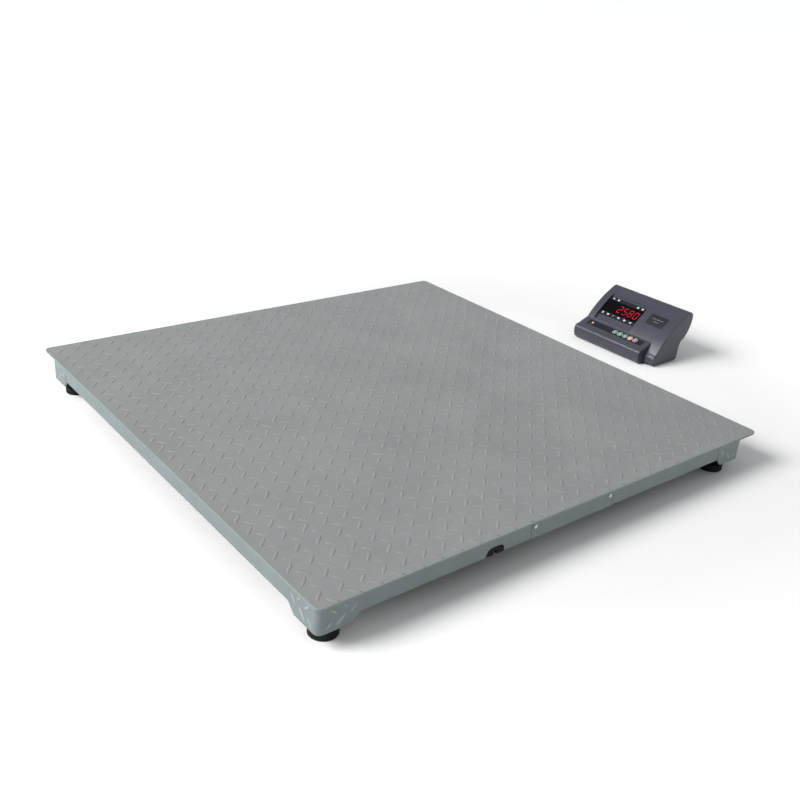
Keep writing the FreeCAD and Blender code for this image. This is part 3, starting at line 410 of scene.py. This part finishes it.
def corner_lugs(node):
    """The same lugs on the two outer faces of a bent checker-plate corner box, painted lighter than the
    box as a painted highlight.
    """
    lo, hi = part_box(node)
    middle = (DECK_LO + DECK_HI) / 2
    side_x = -1 if (lo.x + hi.x) / 2 < middle.x else 1
    side_y = -1 if (lo.y + hi.y) / 2 < middle.y else 1
    corner = Vector((lo.x if side_x < 0 else hi.x, lo.y if side_y < 0 else hi.y, lo.z))
    mesh = bmesh.new()
    for normal, run in ((X * side_x, Y * -side_y), (Y * side_y, X * -side_x)):
        for start, height, tilt, size in CORNER_LUGS:
            along = (run + UP * tilt).normalized()
            add_lug(mesh, corner + run * start + UP * height, along, normal, size)
    return finished(mesh, node + "_lugs", CORNER_LUG_HIGHLIGHT_PAINT, "platform")


WELD_STEPS = 24
WELD_CROWN, WELD_RIPPLE, RIPPLE_TURN = 0.32 * MM, 0.12 * MM, 2.4
WELD_HALF = 1.5 * MM
WELD_SHOULDER, WELD_SHOULDER_RISE = 0.5, 0.8     # shares of the half width and of the crown
WELD_TOE, WELD_ROOT = -0.05 * MM, -1.6 * MM      # heights against the face of the skirt
SEAM_MIDDLE = 1 * MM                             # from the skirt's end to the middle of the gap
WELD_TOP_GAP = 0.1 * MM
BARE_SEAM, BARE_FULL_SEAM = 0.55, 0.02           # lower shares of a seam without a weld
FULL_SEAMS = {("front_skirt", "near"), ("left_skirt", "near")}


def seam_weld(name, foot, top, outward, along):
    """A weld between a skirt's end and the corner box: a low crowned bead with faint ripples."""
    mesh = bmesh.new()
    rows = []
    for i in range(WELD_STEPS + 1):
        centre = foot.lerp(top, i / WELD_STEPS)
        crown = WELD_CROWN + WELD_RIPPLE * math.sin(i * RIPPLE_TURN)
        shoulder, rise = WELD_HALF * WELD_SHOULDER, crown * WELD_SHOULDER_RISE
        profile = ((-WELD_HALF, WELD_ROOT), (-WELD_HALF, WELD_TOE), (-shoulder, rise), (0.0, crown),
                   (shoulder, rise), (WELD_HALF, WELD_TOE), (WELD_HALF, WELD_ROOT))
        rows.append([mesh.verts.new(centre + along * x + outward * y) for x, y in profile])
    join_rings(mesh, rows)
    mesh.faces.new(list(reversed(rows[0])))
    mesh.faces.new(rows[-1])
    finished(mesh, name, LOOK["frame_paint"], "platform")


def seam_welds():
    for node, run, outward in (("front_skirt", X, -Y), ("rear_skirt", X, Y),
                               ("left_skirt", Y, -X), ("right_skirt", Y, X)):
        lo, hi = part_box(node)
        face = hi if outward.dot(X + Y) > 0 else lo
        for end, where, step in (("near", lo, -1), ("far", hi, 1)):
            foot = run * (where.dot(run) + step * SEAM_MIDDLE) + outward * face.dot(outward)
            top = Vector((foot.x, foot.y, hi.z - WELD_TOP_GAP))
            bare = BARE_FULL_SEAM if (node, end) in FULL_SEAMS else BARE_SEAM
            foot.z = lo.z + bare * (hi.z - lo.z)
            seam_weld(node + "_weld_" + end, foot, top, outward, run)


deck_lugs()
seam_welds()
for place in ("front_left", "front_right", "rear_left", "rear_right"):
    corner_lugs("corner_box_" + place)


# ---------------------------------------------------------------- printing on the indicator

LEAST_RISE, MOST_SLEW = 0.2, 0.1    # what a face's normal needs in Z, and may have in Y, to be the front
FACE_DEPTH = 0.05 * MM              # points this close below the highest belong to the face
PRINT_SINK = 0.05 * MM
RING_STEPS = 40


class Face:
    """The outward face of a CAD node, as seen by somebody who reads the indicator."""

    def __init__(self, node):
        data = frame["nodes"][node].data
        facing = {}
        for polygon in data.polygons:
            n = polygon.normal
            if n.x < 0 and n.z > LEAST_RISE and abs(n.y) < MOST_SLEW:
                key = (round(n.x, 2), round(n.z, 2))
                facing[key] = facing.get(key, Vector()) + n * polygon.area
        best = max(facing.values(), key=lambda total: total.length)
        self.normal = Vector((best.x, 0, best.z)).normalized()
        self.right = -Y
        self.up = self.normal.cross(self.right)
        reach = max(v.co.dot(self.normal) for v in data.vertices)
        top = [v.co for v in data.vertices if v.co.dot(self.normal) > reach - FACE_DEPTH]
        rights = [co.dot(self.right) for co in top]
        ups = [co.dot(self.up) for co in top]
        self.width, self.height = max(rights) - min(rights), max(ups) - min(ups)
        self.centre = (self.right * (max(rights) + min(rights)) / 2 + self.up * (max(ups) + min(ups)) / 2
                       + self.normal * reach)

    def at(self, x, y, lift):
        return self.centre + self.right * x + self.up * y + self.normal * lift


def add_print(mesh, face, outline, lift=0.07 * MM):
    """A thin closed layer with this outline, let a little way into the face."""
    low = [mesh.verts.new(face.at(x, y, -PRINT_SINK)) for x, y in outline]
    high = [mesh.verts.new(face.at(x, y, lift)) for x, y in outline]
    mesh.faces.new(list(reversed(low)))
    mesh.faces.new(high)
    join_rings(mesh, [low, high])


def add_ring(mesh, face, outer, inner, lift):
    """A flat closed ring let into a face."""
    rows = []
    for radius, height in ((outer, -PRINT_SINK), (outer, lift), (inner, lift), (inner, -PRINT_SINK)):
        turns = [math.tau * i / RING_STEPS for i in range(RING_STEPS)]
        rows.append([mesh.verts.new(face.at(radius * math.cos(a), radius * math.sin(a), height))
                     for a in turns])
    join_rings(mesh, rows + rows[:1])


def rounded_bar(x, y, width, height, radius, steps=4):
    outline = []
    for sx, sy, first in ((1, -1, -90), (1, 1, 0), (-1, 1, 90), (-1, -1, 180)):
        cx, cy = x + sx * (width / 2 - radius), y + sy * (height / 2 - radius)
        for i in range(steps + 1):
            a = math.radians(first + 90 * i / steps)
            outline.append((cx + radius * math.cos(a), cy + radius * math.sin(a)))
    return outline


# ---------------------------------------------------------------- display

SEGMENTS = {"0": "abcdef", "1": "bc", "2": "abged", "3": "abgcd", "4": "fgbc", "5": "afgcd", "6": "afgedc",
            "7": "abc", "8": "abcdefg", "9": "abcdfg"}
READING = "2580"
DIGIT_HEIGHT, DIGIT_WIDTH, STROKE, SLANT = 24 * MM, 12.5 * MM, 1.25 * MM, 0.14
SEGMENT_GAP = 0.25 * MM
DIGIT_EDGE, DIGIT_PLACES = 5.5 * MM, 6          # the margin at each side, and the digit places between
DIGIT_LIFT, STRIP_LIFT = 0.05 * MM, 0.03 * MM
DOT_PLACE, DOT_RISE = 1.95, 0.72                # in digit places from the right, in strips from below
DOT_SIZE, DOT_RADIUS = 2.4 * MM, 1.19 * MM
STRIP_SHARE = 0.17                              # a printed strip's height against the window's
STRIP_MARGIN, STRIP_RADIUS = 1 * MM, 0.6 * MM
MARK_LINE, MARK_HEIGHT, MARK_RADIUS = 1.5 * MM, 1.7 * MM, 0.5 * MM
# each mark's place, as a share of the window's width, and the lengths of its two lines
UPPER_MARKS = [(share, 7.0 * MM, 5.4 * MM) for share in (0.085, 0.225, 0.785, 0.915)]
LOWER_MARKS = [(share, length * MM, (length - 0.8) * MM) for share, length in (
    (0.075, 6.0), (0.225, 7.4), (0.375, 2.2), (0.53, 7.0), (0.7, 7.0), (0.87, 6.6))]

window = Face("display_window")
STRIP_HEIGHT = window.height * STRIP_SHARE
STRIP_Y = window.height / 2 - STRIP_HEIGHT / 2


def segment_outline(letter, cx):
    """A six-sided bar of a seven-segment digit, leaning to the right."""
    w, h, t = DIGIT_WIDTH, DIGIT_HEIGHT, STROKE / 2
    flat = {"a": h / 2 - t, "g": 0.0, "d": -h / 2 + t}
    tall = {"b": (w / 2 - t, 1), "c": (w / 2 - t, -1), "e": (-w / 2 + t, -1), "f": (-w / 2 + t, 1)}
    if letter in flat:
        y, x0, x1 = flat[letter], -w / 2 + t + SEGMENT_GAP, w / 2 - t - SEGMENT_GAP
        points = [(x0, y), (x0 + t, y - t), (x1 - t, y - t), (x1, y), (x1 - t, y + t), (x0 + t, y + t)]
    else:
        x, half = tall[letter]
        y0, y1 = sorted((half * SEGMENT_GAP, half * (h / 2 - t - SEGMENT_GAP)))
        points = [(x, y0), (x + t, y0 + t), (x + t, y1 - t), (x, y1), (x - t, y1 - t), (x - t, y0 + t)]
    return [(cx + px + py * SLANT, py) for px, py in points]


def display_strips():
    strips = bmesh.new()
    for y in (STRIP_Y, -STRIP_Y):
        strip = rounded_bar(0, y, window.width - STRIP_MARGIN, STRIP_HEIGHT, STRIP_RADIUS)
        add_print(strips, window, strip, STRIP_LIFT)
    finished(strips, "display_strips", STRIP_INK, "indicator")


def display_marks():
    """Plain bars in pairs, where small print would be."""
    marks = bmesh.new()
    for row, y in ((UPPER_MARKS, STRIP_Y), (LOWER_MARKS, -STRIP_Y)):
        for share, first, second in row:
            x = -window.width / 2 + window.width * share
            for line_y, length in ((y + MARK_LINE, first), (y - MARK_LINE, second)):
                add_print(marks, window, rounded_bar(x, line_y, length, MARK_HEIGHT, MARK_RADIUS))
    finished(marks, "display_marks", PRINT_WHITE, "indicator")


def display_digits():
    digits = bmesh.new()
    last_place = window.width / 2 - DIGIT_EDGE
    pitch = (window.width - 2 * DIGIT_EDGE) / DIGIT_PLACES
    for index, digit in enumerate(READING):
        cx = last_place - (len(READING) - 0.5 - index) * pitch
        for letter in SEGMENTS[digit]:
            add_print(digits, window, segment_outline(letter, cx), DIGIT_LIFT)
    dot = rounded_bar(last_place - DOT_PLACE * pitch, -STRIP_Y + STRIP_HEIGHT * DOT_RISE,
                      DOT_SIZE, DOT_SIZE, DOT_RADIUS)
    add_print(digits, window, dot)
    finished(digits, "display_digits", LED_RED, "indicator")


# ---------------------------------------------------------------- keys, overlay and label

# in mm: a ring's outer and inner radius, or a bar's place, width and height
ICONS = {
    "zero_key": [("ring", 2.6, 1.7)],
    "tare_key": [("bar", 0, 1.5, 6.0, 1.4), ("bar", 0, -1.5, 6.0, 1.4)],
    "hold_key": [("bar", -1.6, 0, 1.4, 5.4), ("bar", 1.6, 0, 1.4, 5.4)],
    "total_key": [("bar", 0, 0, 6.2, 1.5), ("bar", 0, 2.6, 3.6, 1.1), ("bar", 0, -2.6, 3.6, 1.1)],
    "power_key": [("ring", 2.9, 2.0), ("bar", 0, 2.4, 1.2, 3.2)],
}
KEY_RING_OUTER, KEY_RING_INNER = 0.95, 0.84     # against the key's radius
KEY_LIFT = 0.06 * MM
ICON_ROUNDING = 0.45                            # a bar's corner radius against its shorter side


def key_details(node):
    face = Face(node)
    radius = face.width / 2
    mesh = bmesh.new()
    add_ring(mesh, face, radius * KEY_RING_OUTER, radius * KEY_RING_INNER, KEY_LIFT)
    for kind, *sizes in ICONS[node]:
        sizes = [size * MM for size in sizes]
        if kind == "ring":
            add_ring(mesh, face, *sizes, KEY_LIFT)
        else:
            add_print(mesh, face, rounded_bar(*sizes, min(sizes[2:]) * ICON_ROUNDING), KEY_LIFT)
    finished(mesh, node + "_print", PRINT_WHITE, node)


MARK_X, MARK_Y = 17 * MM, 0.8 * MM              # from the overlay's left edge and its middle
DISC_SIZE, DISC_RADIUS, DISC_STEPS = 7.4 * MM, 3.69 * MM, 12
LINE_SHIFT, LINE_Y, LINE_LENGTH = 1 * MM, -6.6 * MM, 10 * MM
LINE_HEIGHT, LINE_RADIUS = 0.8 * MM, 0.38 * MM


def overlay_details():
    """A plain disc, and a plain line below it."""
    face = Face("keypad_overlay")
    x = -face.width / 2 + MARK_X
    mesh = bmesh.new()
    add_print(mesh, face, rounded_bar(x, MARK_Y, DISC_SIZE, DISC_SIZE, DISC_RADIUS, DISC_STEPS))
    finished(mesh, "overlay_mark", PRINT_ORANGE, "indicator")
    line = bmesh.new()
    add_print(line, face, rounded_bar(x - LINE_SHIFT, LINE_Y, LINE_LENGTH, LINE_HEIGHT, LINE_RADIUS))
    finished(line, "overlay_line", PRINT_GREY, "indicator")


LABEL_LINES = ((0.62, 10), (0.36, 5))           # each line's height on the label, and its bars
BAR_PITCH = 4 * MM
BAR_LENGTHS = (2.2 * MM, 2.65 * MM, 3.1 * MM)
BAR_HEIGHT, BAR_RADIUS = 2.0 * MM, 0.4 * MM
LABEL_LOOK_FROM = 20 * MM


def label_details():
    """Plain bars that follow the label's curve."""
    lo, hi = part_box("label_plate")
    label = frame["nodes"]["label_plate"]
    out = Vector((-(hi.z - lo.z), 0, hi.x - lo.x)).normalized()
    mesh = bmesh.new()
    for rise, count in LABEL_LINES:
        middle = Vector((lo.x + (hi.x - lo.x) * rise, (lo.y + hi.y) / 2, lo.z + (hi.z - lo.z) * rise))
        hit = label.closest_point_on_mesh(middle + out * LABEL_LOOK_FROM)
        face = Face("label_plate")
        face.normal = hit[2].normalized()
        face.up = face.normal.cross(face.right)
        face.centre = hit[1]
        for i in range(count):
            x = (i - (count - 1) / 2) * BAR_PITCH
            length = BAR_LENGTHS[i % len(BAR_LENGTHS)]
            add_print(mesh, face, rounded_bar(x, 0, length, BAR_HEIGHT, BAR_RADIUS))
    finished(mesh, "label_bars", PRINT_GREY, "indicator")


display_strips()
display_marks()
display_digits()
for name in ICONS:
    key_details(name)
overlay_details()
label_details()


# ---------------------------------------------------------------- stage

FLOOR_SIZE = 60.0
FLOOR_DIM, FLOOR_PALE = (0.735, 0.735, 0.735), (0.75, 0.75, 0.75)
FLOOR_PATCH, FLOOR_ROUGH, FLOOR_SPECULAR = 0.5, 0.85, 0.1
GLOW_FROM, GLOW_TO, GLOW_STRENGTH = 0.8, 2.6, 0.6    # distances from the middle, and the full glow
SKY_COLOUR = (0.97, 0.985, 1.0, 1)
SKY_RANGE = (0.02, 0.12, 1.15, 0.52)                 # two heights, and the sky's strength at each


def floor_material():
    """Pale paper that stays white far from the light."""
    s = Shader("pale_floor")
    tone = s.ramp(s.noise(FLOOR_PATCH, detail=2.0), MID_LOW, MID_HIGH)
    s.put(s.face.inputs["Base Color"], s.mix(tone, FLOOR_DIM, FLOOR_PALE))
    s.put(s.face.inputs["Roughness"], FLOOR_ROUGH)
    s.put(s.face.inputs["Specular IOR Level"], FLOOR_SPECULAR)
    distance = s.add("ShaderNodeVectorMath", operation="LENGTH")
    s.put(distance.inputs[0], s.place)
    glow = s.ramp(distance.outputs["Value"], GLOW_FROM, GLOW_TO, 0.0, GLOW_STRENGTH)
    s.put(s.face.inputs["Emission Color"], (1.0, 1.0, 1.0))
    s.put(s.face.inputs["Emission Strength"], glow)
    return s.material


def stage_floor():
    mesh = bmesh.new()
    bmesh.ops.create_grid(mesh, x_segments=1, y_segments=1, size=FLOOR_SIZE)
    data = bpy.data.meshes.new("floor")
    mesh.to_mesh(data)
    mesh.free()
    data.materials.append(floor_material())
    floor = bpy.data.objects.new("floor", data)
    scene.collection.objects.link(floor)


def aimed_light(name, kind, place, target, power, colour=(1, 1, 1)):
    data = bpy.data.lights.new(name, kind)
    data.energy = power
    data.color = colour
    light = bpy.data.objects.new(name, data)
    light.location = place
    light.rotation_mode = "QUATERNION"
    light.rotation_quaternion = (Vector(target) - Vector(place)).to_track_quat("-Z", "Y")
    scene.collection.objects.link(light)
    return data


def soft_disk(name, size, **light):
    disk = aimed_light(name, "AREA", **light)
    disk.shape = "DISK"
    disk.size = size


def studio_lights():
    soft_disk("key", size=4.6, place=(-7.0, 2.0, 5.6), target=(0, 0, 0), power=1180,
              colour=(1.0, 0.995, 0.985))
    soft_disk("fill", size=3.0, place=(2.4, -3.0, 3.6), target=(0.3, 0, 0), power=6)
    panel = aimed_light("panel", "SPOT", place=(-1.1, 1.7, 1.75), target=(0.7, 0.03, 0.1), power=170)
    panel.spot_size = math.radians(12)
    panel.spot_blend = 0.7
    panel.shadow_soft_size = 0.42


def studio_world():
    """A pale sky that is brightest at the horizon and below."""
    world = bpy.data.worlds.new("studio")
    world.use_nodes = True
    sky = world.node_tree
    background = sky.nodes["Background"]
    background.inputs[0].default_value = SKY_COLOUR
    height = sky.nodes.new("ShaderNodeSeparateXYZ")
    sky.links.new(sky.nodes.new("ShaderNodeTexCoord").outputs["Generated"], height.inputs[0])
    strength = sky.nodes.new("ShaderNodeMapRange")
    for socket, number in zip(strength.inputs[1:5], SKY_RANGE):
        socket.default_value = number
    sky.links.new(height.outputs["Z"], strength.inputs[0])
    sky.links.new(strength.outputs[0], background.inputs[1])
    scene.world = world
    scene.view_settings.view_transform = "Standard"
    scene.view_settings.look = "None"


LENS, SENSOR_WIDTH, CLIP_END = 42.24, 36.0, 200.0
CAMERA_OFFSET = Vector((-0.5608, -0.7986, 0.7664))   # from the deck's front left corner, in deck sides
CAMERA_RIGHT = Vector((0.7855, -0.6147, 0.0722)).normalized()
CAMERA_AHEAD = Vector((0.5816, 0.6931, -0.4258)).normalized()


def photo_camera():
    data = bpy.data.cameras.new("camera")
    data.lens = LENS
    data.sensor_width = SENSOR_WIDTH
    data.clip_end = CLIP_END
    camera = bpy.data.objects.new("camera", data)
    scene.collection.objects.link(camera)
    ahead = (CAMERA_AHEAD - CAMERA_RIGHT * CAMERA_AHEAD.dot(CAMERA_RIGHT)).normalized()
    above = CAMERA_RIGHT.cross(ahead)
    turn = Matrix((CAMERA_RIGHT, above, -ahead)).transposed()
    deck_corner = Vector((DECK_LO.x, DECK_LO.y, DECK_HI.z))
    camera.matrix_world = Matrix.Translation(deck_corner + SIDE * CAMERA_OFFSET) @ turn.to_4x4()
    scene.camera = camera


stage_floor()
studio_lights()
studio_world()
photo_camera()
